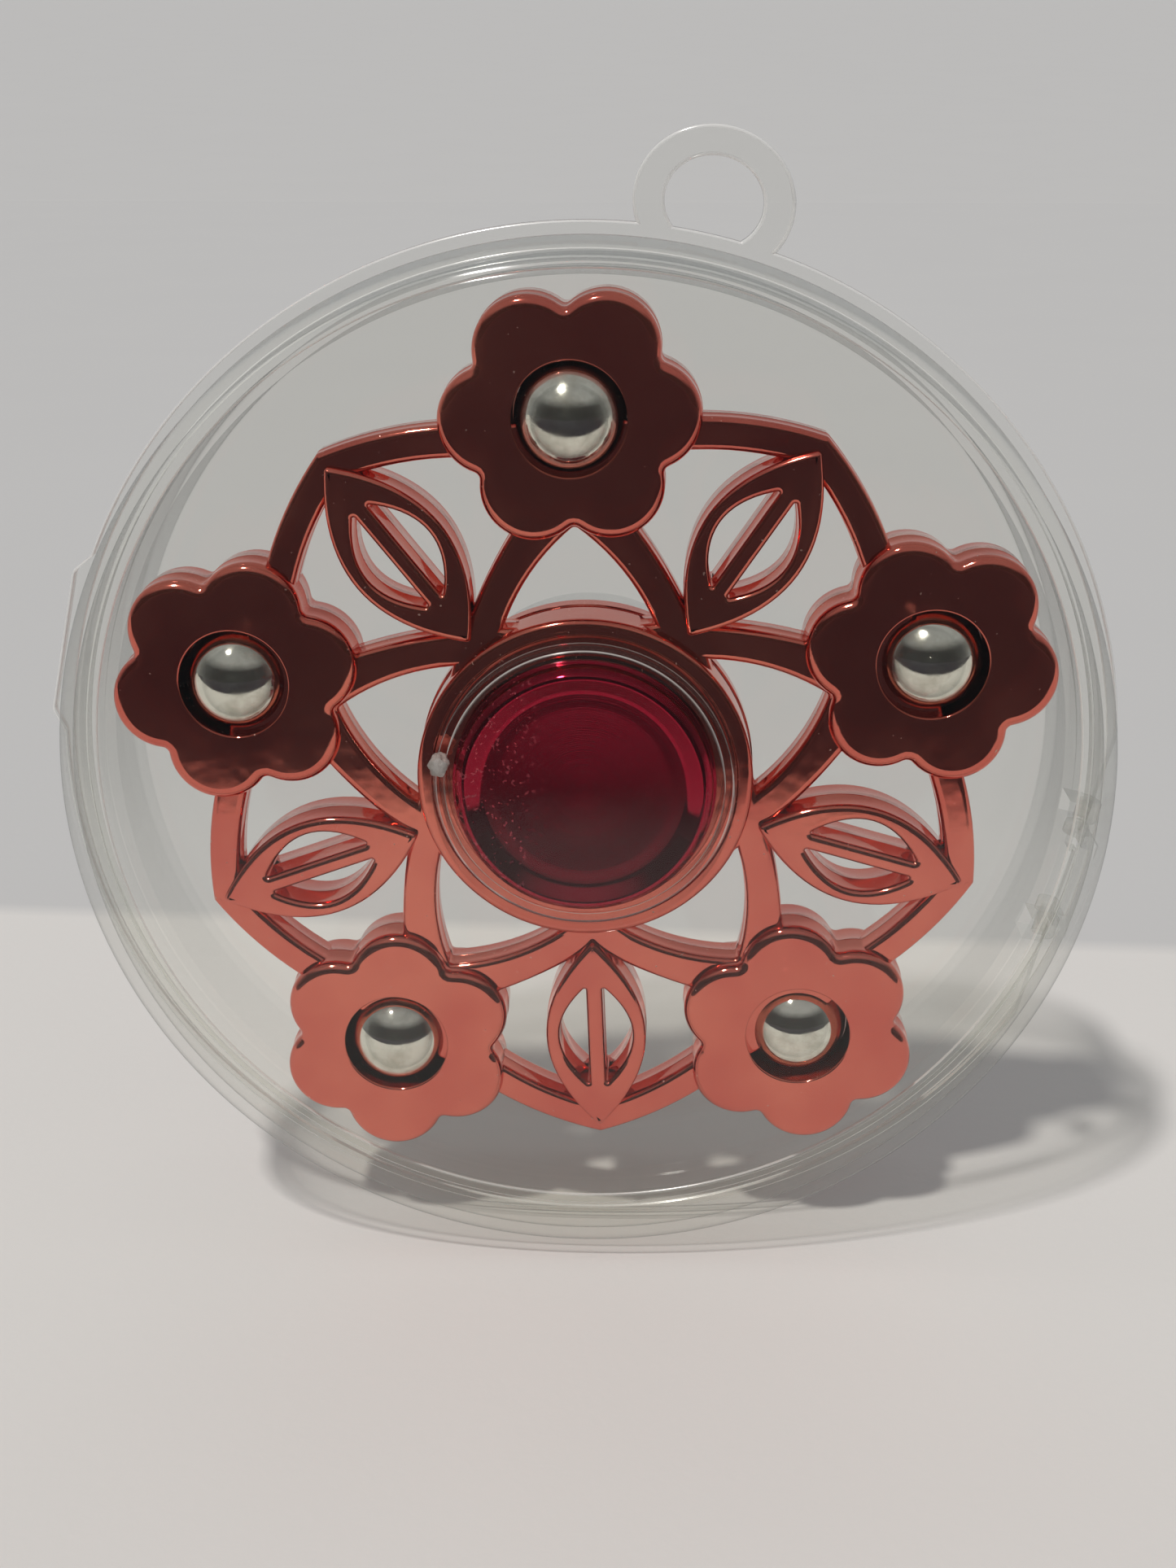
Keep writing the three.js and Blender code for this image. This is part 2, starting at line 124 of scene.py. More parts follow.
# Rounds the corners of an outline given as (x, y, radius). Flats keep a point just outside each
# arc, so that smooth shading stays inside the rounding.
def roundCorners(corners, closed=True, hold=0.12, stepAngle=12):
    found = []
    count = len(corners)
    for i, (x, y, radius) in enumerate(corners):
        point = Vector((x, y))
        atEnd = not closed and i in (0, count - 1)
        if radius <= 0 or atEnd:
            found.append((x, y))
            continue
        before = Vector(corners[i - 1][:2]) - point
        after = Vector(corners[(i + 1) % count][:2]) - point
        toBefore, toAfter = before.normalized(), after.normalized()
        angle = toBefore.angle(toAfter)
        turn = math.pi - angle
        if turn < 0.02:
            found.append((x, y))
            continue
        reach = min(radius / math.tan(angle / 2), before.length * 0.45, after.length * 0.45)
        r = reach * math.tan(angle / 2)
        centre = point + (toBefore + toAfter).normalized() * (r / math.sin(angle / 2))
        arm = point + toBefore * reach - centre
        towards = point - centre
        side = 1 if arm.x * towards.y - arm.y * towards.x > 0 else -1
        steps = max(2, math.ceil(math.degrees(turn) / stepAngle))
        if hold and before.length > 2 * (reach + hold):
            found.append(tuple(point + toBefore * (reach + hold)))
        for k in range(steps + 1):
            a = side * turn * k / steps
            c, s = math.cos(a), math.sin(a)
            found.append(tuple(centre + Vector((arm.x * c - arm.y * s, arm.x * s + arm.y * c))))
        if hold and after.length > 2 * (reach + hold):
            found.append(tuple(point + toAfter * (reach + hold)))
    return found


def addObject(name, data):
    added = bpy.data.objects.new(name, data)
    bpy.context.scene.collection.objects.link(added)
    return added


def pieceFromWork(name, work):
    mesh = bpy.data.meshes.new(name)
    work.to_mesh(mesh)
    work.free()
    return addObject(name, mesh)


def makePiece(name, verts, faces):
    mesh = bpy.data.meshes.new(name)
    mesh.from_pydata(verts, [], faces)
    work = bmesh.new()
    work.from_mesh(mesh)
    bmesh.ops.remove_doubles(work, verts=work.verts, dist=2e-6)
    bmesh.ops.recalc_face_normals(work, faces=work.faces)
    for face in work.faces:
        face.smooth = True
    work.to_mesh(mesh)
    work.free()
    return addObject(name, mesh)


def bandFaces(low, high):  # the faces between two rings of points
    count = len(low)
    return [[low[k], low[(k + 1) % count], high[(k + 1) % count], high[k]] for k in range(count)]


def stackedFaces(count, steps):  # the faces of a stack of rings, numbered in order
    rings = [list(range(i * steps, (i + 1) * steps)) for i in range(count)]
    return [face for low, high in zip(rings, rings[1:]) for face in bandFaces(low, high)]


# Turns a profile of (radius, z) round the spin axis.
def turnedPiece(name, profile, steps, closed=False):
    verts, rings = [], []
    for r, z in profile:
        if r < 1e-6:
            rings.append([len(verts)] * steps)
            verts.append(toRow(0, 0, z))
            continue
        rings.append(list(range(len(verts), len(verts) + steps)))
        for k in range(steps):
            a = 2 * math.pi * k / steps
            verts.append(toRow(r * math.cos(a), r * math.sin(a), z))
    faces = []
    for low, high in zip(rings, rings[1:] + rings[:1] if closed else rings[1:]):
        for face in bandFaces(low, high):
            kept = [v for i, v in enumerate(face) if v not in face[:i]]
            if len(kept) > 2:
                faces.append(kept)
    return makePiece(name, verts, faces)


def rodPiece(name, radius, steps, half=9):  # a plain rod on the spin axis, for cutting
    return turnedPiece(name, [(0, -half), (radius, -half), (radius, half), (0, half)], steps)


def inwardSteps(loop):  # at each point, the step into the material, which is on the loop's left
    found = []
    count = len(loop)
    for i in range(count):
        a, b, c = Vector(loop[i - 1]), Vector(loop[i]), Vector(loop[(i + 1) % count])
        first, second = (b - a).normalized(), (c - b).normalized()
        n1, n2 = Vector((-first.y, first.x)), Vector((-second.y, second.x))
        n = (n1 + n2).normalized() if (n1 + n2).length > 0.1 else n1
        found.append(n / max(n.dot(n1), 0.5))
    return found


# A flat moulded shape with rounded edges. The first loop is the outline, anticlockwise, and the
# others are holes, clockwise; each is (points, edge radius). A seam is a fine ridge round the
# middle of every edge.
def platePiece(name, loops, thick, mid=0.0, seam=0.0, hold=0.12, arcSteps=5):
    verts, faces = [], []
    fronts, backs = [], []
    half = thick / 2
    for points, edge in loops:
        inward = inwardSteps(points)
        arc = [math.radians(90 * i / arcSteps) for i in range(arcSteps + 1)]
        front = [(edge + hold, half)]
        front += [(edge * (1 - math.sin(a)), half - edge * (1 - math.cos(a))) for a in arc]
        front.append((0.0, half - edge - hold))
        if seam:
            front.append((0.0, seam * 2))
            levels = front + [(-seam, 0.0)] + [(off, -z) for off, z in reversed(front)]
        else:
            levels = front + [(off, -z) for off, z in reversed(front)]
        rings = []
        for off, z in levels:
            rings.append(list(range(len(verts), len(verts) + len(points))))
            for p, n in zip(points, inward):
                verts.append(toRow(p[0] + n.x * off, p[1] + n.y * off, mid + z))
        for low, high in zip(rings, rings[1:]):
            faces += bandFaces(low, high)
        fronts.append(rings[0])
        backs.append(rings[-1])
    for side in (fronts, backs):
        flat = [v for ring in side for v in ring]
        outline = [[Vector((verts[v][0], verts[v][2], 0)) for v in ring] for ring in side]
        for a, b, c in geometry.tessellate_polygon(outline):
            faces.append([flat[a], flat[b], flat[c]])
    return makePiece(name, verts, faces)


def clockwise(points, wanted=True):
    area = sum(a[0] * b[1] - b[0] * a[1] for a, b in zip(points, points[1:] + points[:1]))
    return points if (area < 0) == wanted else list(reversed(points))


def combine(base, others, operation):
    for other in others:
        step = base.modifiers.new("combine", "BOOLEAN")
        step.operation = operation
        step.solver = "MANIFOLD"
        step.object = other
    evaluated = base.evaluated_get(bpy.context.evaluated_depsgraph_get())
    mesh = bpy.data.meshes.new_from_object(evaluated)
    base.modifiers.clear()
    base.data = mesh
    for other in others:
        bpy.data.objects.remove(other)
    return base


def sharpen(piece, degrees):  # keeps creases where moulded shapes meet
    mesh = piece.data
    for polygon in mesh.polygons:
        polygon.use_smooth = True
    mesh.set_sharp_from_angle(angle=math.radians(degrees))


def place(piece, body, material, slotName, *nodes):
    piece.data.materials.clear()
    piece.data.materials.append(material)
    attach(piece, body)
    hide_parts(*nodes)
    return piece


# Each finish is a node material; its settings sit in the dictionary above it.

def startMaterial(name):
    material = bpy.data.materials.new(name)
    material.use_nodes = True
    tree = material.node_tree
    return material, tree, tree.nodes["Principled BSDF"]


def addNode(tree, kind, **values):
    node = tree.nodes.new(kind)
    for key, value in values.items():
        if hasattr(node, key):
            setattr(node, key, value)
        else:
            node.inputs[key].default_value = value
    return node


def ownPlace(tree):  # a place on the piece itself, in metres
    return addNode(tree, "ShaderNodeTexCoord").outputs["Object"]


def addNoise(tree, place, scale, detail=3.0, roughness=0.55):
    node = addNode(tree, "ShaderNodeTexNoise")
    node.inputs["Scale"].default_value = scale
    node.inputs["Detail"].default_value = detail
    node.inputs["Roughness"].default_value = roughness
    tree.links.new(place, node.inputs["Vector"])
    return node.outputs["Fac"]


def addRange(tree, value, fromLow, fromHigh, toLow, toHigh):
    node = addNode(tree, "ShaderNodeMapRange")
    tree.links.new(value, node.inputs["Value"])
    for key, number in zip(("From Min", "From Max", "To Min", "To Max"),
                           (fromLow, fromHigh, toLow, toHigh)):
        node.inputs[key].default_value = number
    return node.outputs["Result"]


def addMix(tree, factor, first, second):
    node = addNode(tree, "ShaderNodeMix", data_type="RGBA")
    tree.links.new(factor, node.inputs["Factor"])
    for key, value in (("A", first), ("B", second)):
        target = [s for s in node.inputs if s.name == key and s.type == "RGBA"][0]
        if isinstance(value, tuple):
            target.default_value = (*value, 1)
        else:
            tree.links.new(value, target)
    return [s for s in node.outputs if s.type == "RGBA"][0]


def addBump(tree, height, strength, distance):
    node = addNode(tree, "ShaderNodeBump")
    node.inputs["Strength"].default_value = strength
    node.inputs["Distance"].default_value = distance
    tree.links.new(height, node.inputs["Height"])
    return node.outputs["Normal"]


def addMath(tree, operation, first, second):
    node = addNode(tree, "ShaderNodeMath", operation=operation)
    for socket, value in zip(node.inputs, (first, second)):
        if isinstance(value, (int, float)):
            socket.default_value = value
        else:
            tree.links.new(value, socket)
    return node.outputs[0]


copperLook = {
    "bright": (0.78, 0.215, 0.155),
    "deep": (0.68, 0.155, 0.120),
    "cloudScale": 90,      # slow drift of the plating's tone
    "cloudSpan": (0.35, 0.65),
    "smearScale": 330,
    "smearSpan": (0.3, 0.75),
    "roughLow": 0.03,
    "roughHigh": 0.13,
    "rippleScale": 260,    # faint sink and ripple of the moulding under the plating
    "ripple": 0.10,
    "dustScale": 2400,
    "dustAmount": 0.765,   # nearer 0.6 gives more specks
    "dustEdge": 0.02,
    "dustRough": 0.4,
    "dustColour": (0.62, 0.42, 0.36),
}


def copperPlating():
    look = copperLook
    material, tree, shader = startMaterial("copperPlating")
    here = ownPlace(tree)
    cloud = addNoise(tree, here, look["cloudScale"], 4)
    tone = addMix(tree, addRange(tree, cloud, *look["cloudSpan"], 0, 1), look["deep"], look["bright"])
    specks = addNoise(tree, here, look["dustScale"], 1)
    dust = addRange(tree, specks, look["dustAmount"], look["dustAmount"] + look["dustEdge"], 0, 1)
    tree.links.new(addMix(tree, dust, tone, look["dustColour"]), shader.inputs["Base Color"])
    shader.inputs["Metallic"].default_value = 1
    smear = addNoise(tree, here, look["smearScale"], 5, 0.65)
    rough = addRange(tree, smear, *look["smearSpan"], look["roughLow"], look["roughHigh"])
    dusty = addMath(tree, "MULTIPLY", dust, look["dustRough"])
    tree.links.new(addMath(tree, "ADD", rough, dusty), shader.inputs["Roughness"])
    ripple = addNoise(tree, here, look["rippleScale"], 2)
    tree.links.new(addBump(tree, ripple, look["ripple"], 0.0004), shader.inputs["Normal"])
    return material


steelLook = {
    "clean": (0.80, 0.79, 0.71),
    "stained": (0.55, 0.54, 0.46),
    "roughLow": 0.05,
    "roughHigh": 0.22,
    "smearScale": 420,
    "smearSpan": (0.4, 0.7),
    "stainSpan": (0.42, 0.72),
    "pitScale": 2600,
    "pits": 0.04,
}


def ballSteel():
    look = steelLook
    material, tree, shader = startMaterial("ballSteel")
    here = ownPlace(tree)
    smear = addNoise(tree, here, look["smearScale"], 6, 0.6)
    stain = addRange(tree, smear, *look["stainSpan"], 0, 1)
    tree.links.new(addMix(tree, stain, look["clean"], look["stained"]), shader.inputs["Base Color"])
    shader.inputs["Metallic"].default_value = 1
    rough = addRange(tree, smear, *look["smearSpan"], look["roughLow"], look["roughHigh"])
    tree.links.new(rough, shader.inputs["Roughness"])
    pits = addNoise(tree, here, look["pitScale"], 2)
    tree.links.new(addBump(tree, pits, look["pits"], 0.0001), shader.inputs["Normal"])
    return material


capLook = {
    "colour": (0.34, 0.012, 0.034),
    "worn": (0.50, 0.10, 0.13),
    "roughLow": 0.03,
    "roughHigh": 0.085,
    "dustSide": -0.003,    # dust has gathered left of this, in metres from the middle
    "dustFade": 0.003,
    "dustElsewhere": 0.12,
    "dustScale": 2100,
    "dustSpan": (0.60, 0.66),
    "dustAmount": 0.8,
    "dustRough": 0.3,
    "smearScale": 280,
    "smearSpan": (0.3, 0.7),
    "lineScale": 9000,     # turned lines, per metre of radius
    "lineHeight": 0.03,
}


def capAnodising():
    look = capLook
    material, tree, shader = startMaterial("capAnodising")
    here = ownPlace(tree)
    offset = addNode(tree, "ShaderNodeVectorMath", operation="SUBTRACT")
    tree.links.new(here, offset.inputs[0])
    offset.inputs[1].default_value = spinCentre
    parts = addNode(tree, "ShaderNodeSeparateXYZ")
    tree.links.new(offset.outputs[0], parts.inputs[0])
    x2 = addMath(tree, "MULTIPLY", parts.outputs["X"], parts.outputs["X"])
    z2 = addMath(tree, "MULTIPLY", parts.outputs["Z"], parts.outputs["Z"])
    radius = addMath(tree, "SQRT", addMath(tree, "ADD", x2, z2), 0.0)
    lines = addNode(tree, "ShaderNodeTexNoise", noise_dimensions="1D")
    tree.links.new(radius, lines.inputs["W"])
    lines.inputs["Scale"].default_value = look["lineScale"]
    smear = addNoise(tree, here, look["smearScale"], 6, 0.7)
    specks = addNoise(tree, here, look["dustScale"], 2)
    side = look["dustSide"]
    dusty = addRange(tree, parts.outputs["X"], side, side - look["dustFade"], look["dustElsewhere"], 1)
    scuffs = addMath(tree, "MULTIPLY", addMath(tree, "MULTIPLY", dusty, look["dustAmount"]),
                     addRange(tree, specks, *look["dustSpan"], 0, 1))
    tree.links.new(addMix(tree, scuffs, look["colour"], look["worn"]), shader.inputs["Base Color"])
    shader.inputs["Metallic"].default_value = 1
    rough = addRange(tree, smear, *look["smearSpan"], look["roughLow"], look["roughHigh"])
    rougher = addMath(tree, "MULTIPLY", scuffs, look["dustRough"])
    tree.links.new(addMath(tree, "ADD", rough, rougher), shader.inputs["Roughness"])
    tree.links.new(addBump(tree, lines.outputs["Fac"], look["lineHeight"], 0.0001),
                   shader.inputs["Normal"])
    return material


clearLook = {
    "tint": (0.985, 0.985, 0.975),
    "gloss": (0.96, 0.97, 0.97),
    "facing": 0.020,       # how much a wall seen square on reflects
    "edgeOn": 0.62,        # and one seen edge on
    "deepTint": (0.30, 0.31, 0.31),  # what is left of light that runs along inside a wall
    "milk": 0.14,          # how much of that is scattered as a milky bloom
    "roughLow": 0.03,
    "roughHigh": 0.16,
    "hazeScale": 55,
    "hazeSpan": (0.35, 0.75),
    "rippleScale": 130,
    "ripple": 0.05,
    "scratchScale": 900,
    "scratch": 0.03,
    "scratchSpan": (0.60, 0.72),
    "scratchedSpan": (0.45, 0.6),  # the haze levels between which scratches set in
}

# Painted highlight: the sharp edges of a clear moulding get a far glossier, milkier copy of the clear
# finish, so that they look whiter than its walls, as where light gathers in them.
edgeHighlightLook = dict(clearLook, facing=0.60, edgeOn=0.85, milk=0.85, roughLow=0.10, roughHigh=0.25)
earLook = dict(clearLook, facing=0.16, edgeOn=0.8, milk=0.6, roughLow=0.12, roughHigh=0.3)


# The moulded walls are thin, so light goes straight through them and only the gloss shows.
def clearPlastic(name, look):
    material, tree, shader = startMaterial(name)
    here = ownPlace(tree)
    haze = addNoise(tree, here, look["hazeScale"], 5, 0.6)
    shader.inputs["Base Color"].default_value = (*look["gloss"], 1)
    shader.inputs["Metallic"].default_value = 1 - look["milk"]
    rough = addRange(tree, haze, *look["hazeSpan"], look["roughLow"], look["roughHigh"])
    tree.links.new(rough, shader.inputs["Roughness"])
    ripple = addNoise(tree, here, look["rippleScale"], 2)
    normal = addBump(tree, ripple, look["ripple"], 0.0004)
    tree.links.new(normal, shader.inputs["Normal"])
    weight = addNode(tree, "ShaderNodeLayerWeight", Blend=0.5)
    tree.links.new(normal, weight.inputs["Normal"])
    rise = addMath(tree, "POWER", weight.outputs["Facing"], 5.0)
    shine = addRange(tree, rise, 0, 1, look["facing"], look["edgeOn"])
    fine = addNoise(tree, here, look["scratchScale"], 6, 0.75)
    marks = addMath(tree, "MULTIPLY", addRange(tree, fine, *look["scratchSpan"], 0, look["scratch"]),
                    addRange(tree, haze, *look["scratchedSpan"], 0, 1))
    through = addNode(tree, "ShaderNodeBsdfTransparent")
    tree.links.new(addMix(tree, rise, look["tint"], look["deepTint"]), through.inputs["Color"])
    wall = addNode(tree, "ShaderNodeMixShader")
    tree.links.new(addMath(tree, "ADD", shine, marks), wall.inputs[0])
    tree.links.new(through.outputs[0], wall.inputs[1])
    tree.links.new(shader.outputs[0], wall.inputs[2])
    tree.links.new(wall.outputs[0], tree.nodes["Material Output"].inputs["Surface"])
    return material


frostLook = {
    "dark": (0.62, 0.60, 0.58),
    "pale": (0.95, 0.94, 0.92),
    "grainScale": 2200,
    "grainSpan": (0.3, 0.7),
    "grain": 0.6,
    "clearness": 0.55,
    "roughness": 0.35,
}


def frostedPlastic():  # torn, whitened plastic of the moulding gate
    look = frostLook
    material, tree, shader = startMaterial("frostedPlastic")
    here = ownPlace(tree)
    grain = addNoise(tree, here, look["grainScale"], 4, 0.7)
    shades = addMix(tree, addRange(tree, grain, *look["grainSpan"], 0, 1), look["dark"], look["pale"])
    tree.links.new(shades, shader.inputs["Base Color"])
    shader.inputs["Transmission Weight"].default_value = look["clearness"]
    shader.inputs["Roughness"].default_value = look["roughness"]
    tree.links.new(addBump(tree, grain, look["grain"], 0.0004), shader.inputs["Normal"])
    return material


ringLook = {
    "dark": (0.50, 0.50, 0.50),
    "pale": (0.72, 0.72, 0.70),
    "metallic": 1,
    "grainScale": 1800,
    "grain": 0.08,
    "roughLow": 0.18,
    "roughHigh": 0.38,
}

cageLook = {
    "dark": (0.020, 0.018, 0.016),
    "pale": (0.045, 0.040, 0.036),
    "metallic": 0,
    "grainScale": 1400,
    "grain": 0.1,
    "roughLow": 0.4,
    "roughHigh": 0.6,
}


def grainyFinish(name, look):  # the bearing's ground steel and moulded nylon
    material, tree, shader = startMaterial(name)
    grain = addNoise(tree, ownPlace(tree), look["grainScale"], 3)
    tree.links.new(addMix(tree, grain, look["dark"], look["pale"]), shader.inputs["Base Color"])
    shader.inputs["Metallic"].default_value = look["metallic"]
    rough = addRange(tree, grain, 0.3, 0.7, look["roughLow"], look["roughHigh"])
    tree.links.new(rough, shader.inputs["Roughness"])
    tree.links.new(addBump(tree, grain, look["grain"], 0.0001), shader.inputs["Normal"])
    return material


copperFinish = copperPlating()
steelFinish = ballSteel()
capFinish = capAnodising()
clearFinish = clearPlastic("clearPlastic", clearLook)
edgeHighlightFinish = clearPlastic("clearEdgePaintedHighlight", edgeHighlightLook)
earFinish = clearPlastic("clearEars", earLook)
gateFinish = frostedPlastic()
ringFinish = grainyFinish("groundSteel", ringLook)
cageFinish = grainyFinish("cageNylon", cageLook)
print("materials ready")


# The spinner's body: hub, lattice, five flowers and five leaves, joined into one moulding. Each
# plate's corners are (x, y, rounding), with x pointing out along an arm.

spinner = {
    "petals": 6,
    "petalReach": 6.8,
    "petalRadius": 4.8,
    "petalSteps": 22,
    "notchEase": 7,        # degrees of petal given up to each notch's rounding
    "notchFill": 0.16,
    "flowerThick": 6.6,
    "flowerEdge": 1.0,
    "boreRadius": 5.05,
    "boreEdge": 0.18,
    "hubOuter": 15.75,
    "hubBore": 11.05,
    "hubThick": 7.0,
    "hubStep": 0.14,       # the radius of the hub's front part is this much smaller
    "hubStepFrom": -1.35,
    "hubStepTo": -1.25,
    "lipWidth": 1.5,
    "lipHeight": 0.12,
    "latticeThick": 4.2,
    "latticeEdge": 0.6,
    "barWidth": 3.0,
    "rimRise": 4.8,
    "rimBow": 0.55,
    "rimFoot": (-0.3, 0.31),  # from the flower's centre, and as a share of its reach
    "rimFootStep": 0.9,
    "notchOut": 1.95,
    "windowFoot": (-9.2, 5.0),
    "windowBow": 0.35,
    "windowCorners": ((-6.5, 3.6), (-3.4, 6.4)),
    "archPeak": -9.7,
    "archSpread": 6.9,
    "archSink": 1.2,
    "archBow": 0.8,
    "leafGap": (1.0, 1.2),  # room left inside the leaf and outside it
    "leafHalfWidth": 4.9,
    "leafBar": 2.1,
    "leafVein": 1.6,
    "leafThick": 6.0,
    "leafEdge": 0.5,
    "seam": 0.05,
}


def flowerLoop():
    half = math.radians(180 / spinner["petals"])
    reach, radius = spinner["petalReach"], spinner["petalRadius"]
    crossing = math.degrees(half + math.asin(reach * math.sin(half) / radius))
    loop = []
    for k in range(spinner["petals"]):
        turn = 360 / spinner["petals"] * (k + 0.5)
        centre = turnPoint((reach, 0), turn)
        room = crossing - spinner["notchEase"]
        loop += arcPoints(*centre, radius, turn - room, turn + room, spinner["petalSteps"])
    eased = []  # rolls a small round into each notch
    perPetal = len(loop) // spinner["petals"]
    for i, point in enumerate(loop):
        eased.append(point)
        if i % perPetal == perPetal - 1:
            a, b = Vector(point), Vector(loop[(i + 1) % len(loop)])
            middle = (a + b) / 2
            inner = middle - middle.normalized() * spinner["notchFill"]
            sink = middle.normalized() * 0.05
            eased += [tuple((a + inner) / 2 - sink), tuple(inner), tuple((b + inner) / 2 - sink)]
    return eased


def flowerPiece(turn):
    outline = flowerLoop()
    bore = clockwise(arcPoints(0, 0, spinner["boreRadius"], 0, 360, 72)[:-1])
    moved = []
    for points in (outline, bore):
        moved.append(turnPoints([(p[0] + flowerReach, p[1]) for p in points], turn))
    loops = [(moved[0], spinner["flowerEdge"]), (moved[1], spinner["boreEdge"])]
    return platePiece("flower", loops, spinner["flowerThick"], seam=spinner["seam"])


def latticePiece(turn):
    hub, bar, edge = spinner["hubOuter"], spinner["barWidth"], spinner["latticeEdge"]
    rimPeak = flowerReach + spinner["rimRise"]
    peak = turnPoint((rimPeak, 0), armTurn / 2)
    innerPeak = turnPoint((rimPeak - bar, 0), armTurn / 2)
    rimFoot = (flowerReach + spinner["rimFoot"][0], flowerReach * spinner["rimFoot"][1])
    innerFoot = (rimFoot[0] - bar, rimFoot[1] - spinner["rimFootStep"])
    notch = turnPoint((hub + spinner["notchOut"], 0), armTurn / 2)
    windowFoot = (flowerReach + spinner["windowFoot"][0], spinner["windowFoot"][1])
    apex = (flowerReach + spinner["archPeak"], 0)
    rim = bowPoints(rimFoot, peak, -spinner["rimBow"], 10)
    rimSide = [(*p, 0) for p in rim[:-1]] + [(*rim[-1], 0.5)]
    rimTwin = [(*p, 0) for p in turnPoints(mirrorPoints(rim), armTurn)[1:]]
    window = [(*p, 0) for p in bowPoints(notch, windowFoot, spinner["windowBow"], 8)]
    window[0] = (*notch, 0.5)
    window += [(flowerReach + x, y, 0) for x, y in spinner["windowCorners"]]
    window += [(*p, 0) for p in bowPoints(innerFoot, innerPeak, -spinner["rimBow"], 8)]
    window[-1] = (*innerPeak, 0.6)
    twin = [(*turnPoint((x, -y), armTurn), r) for x, y, r in reversed(window)]
    window += twin[1:-1]
    archRoot = (hub - spinner["archSink"], spinner["archSpread"])
    flank = bowPoints(apex, archRoot, -spinner["archBow"], 10)
    arch = [(*p, 0) for p in mirrorPoints(flank)[:-1]] + [(*apex, 0.45)] + [(*p, 0) for p in flank[1:]]
    outer, holes = [], []
    for k in range(arms):
        for x, y, r in rimSide + rimTwin:
            outer.append((*turnPoint((x, y), armTurn * k + turn), r))
        for shape in (window, arch):
            placed = [(*turnPoint((x, y), armTurn * k + turn), r) for x, y, r in shape]
            holes.append((clockwise(roundCorners(placed, hold=0)), edge))
    outline = clockwise(roundCorners(outer, hold=0), wanted=False)
    return platePiece("lattice", [(outline, edge)] + holes, spinner["latticeThick"],
                      seam=spinner["seam"])


def leafPiece(turn):
    inner = spinner["hubOuter"] + spinner["leafGap"][0]
    outer = flowerReach + spinner["rimRise"] - spinner["leafGap"][1]
    half, centre = (outer - inner) / 2, (outer + inner) / 2
    bar, edge = spinner["leafBar"], spinner["leafEdge"]

    def side(reach, width, steps):
        return bowPoints((centre + reach, 0), (centre - reach, 0), -width, steps)

    upper = [(*p, 0) for p in side(half, spinner["leafHalfWidth"], 24)]
    upper[0] = (*upper[0][:2], 0.4)
    upper[-1] = (*upper[-1][:2], 0.4)
    outline = upper + [(x, -y, 0) for x, y, r in reversed(upper[1:-1])]
    opening = side(half - bar * 2.3, spinner["leafHalfWidth"] - bar, 18)
    slot = [(x, y + spinner["leafVein"] / 2, 0.4 if i in (0, 18) else 0)
            for i, (x, y) in enumerate(opening)]
    facing = [(x, -y, r) for x, y, r in reversed(slot)]
    loops = []
    for i, shape in enumerate((outline, slot, facing)):
        placed = [(*turnPoint((x, y), turn), r) for x, y, r in shape]
        loops.append((clockwise(roundCorners(placed, hold=0), wanted=i > 0), edge))
    return platePiece("leaf", loops, spinner["leafThick"], seam=spinner["seam"])


def hubPiece():
    outer, bore, half = spinner["hubOuter"], spinner["hubBore"], spinner["hubThick"] / 2
    front, lip, fall = outer - spinner["hubStep"], outer - spinner["lipWidth"], spinner["lipHeight"]
    corners = [
        (bore, -half, 0.25), (outer, -half, 0.6),
        (outer, spinner["hubStepFrom"], 0.08), (front, spinner["hubStepTo"], 0.08),
        (front, half, 0.75), (lip, half, 0.06), (lip - fall, half - fall, 0.06),
        (bore, half - fall, 0.3),
    ]
    return turnedPiece("hub", roundCorners(corners), 160, closed=True)


body = hubPiece()
parts = [latticePiece(flowerTurns[0])]
for turn in flowerTurns:
    parts.append(flowerPiece(turn))
    parts.append(leafPiece(turn + armTurn / 2))
spinnerBody = combine(body, parts, "UNION")
combine(spinnerBody, [rodPiece("boreCutter", spinner["hubBore"], 160)], "DIFFERENCE")
spinnerBody.name = "spinnerBody"
sharpen(spinnerBody, 32)
place(spinnerBody, "rotor", copperFinish, "copper_plating", "spinner_body")
print("spinner body:", len(spinnerBody.data.polygons), "faces")


ball = {
    "radius": 5.0,
    "cuts": 22,
    "lapping": 0.012,      # polishing marks of a few micrometres
    "lappingScale": 2.2,
}


def ballPiece(name, centre):
    work = bmesh.new()
    bmesh.ops.create_cube(work, size=2)
    bmesh.ops.subdivide_edges(work, edges=work.edges, cuts=ball["cuts"], use_grid_fill=True)
    for vert in work.verts:
        tilt = Vector([math.tan(c * math.pi / 4) for c in vert.co]).normalized()
        lap = ball["lapping"] * noise.noise(tilt * ball["lappingScale"])
        vert.co = centre + tilt * (ball["radius"] + lap - ball["lapping"]) * mm
    for face in work.faces:
        face.smooth = True
    return pieceFromWork(name, work)


for k, node in enumerate(ballNodes):
    place(ballPiece("weightBall%d" % (k + 1), boxCentre(node)), "rotor", steelFinish,
          "polished_steel", node)
print("steel balls set")


cap = {
    "radius": 12.2,
    "under": 3.95,
    "crest": 6.4,
    "stem": 3.95,
    "stemEnd": 0.1,
    "collarWidth": 0.7,
    "collarUnder": 3.55,
    "bandTop": 4.55,       # the straight band round the rim
    "bandStep": (0.3, 0.15),
    "slopeFrom": (0.36, 0.62),
    "crestWidth": 0.35,
    "shoulder": 6.4,
    "crestAt": 11.25,
    "dishRadius": 9.55,
    "dishSteps": 16,
    "steps": 144,
    "dishDepth": 0.85,
    "dishEdge": (1.2, 0.04),
    "dishHollow": 0.26,    # how much the dish's floor is hollowed
}


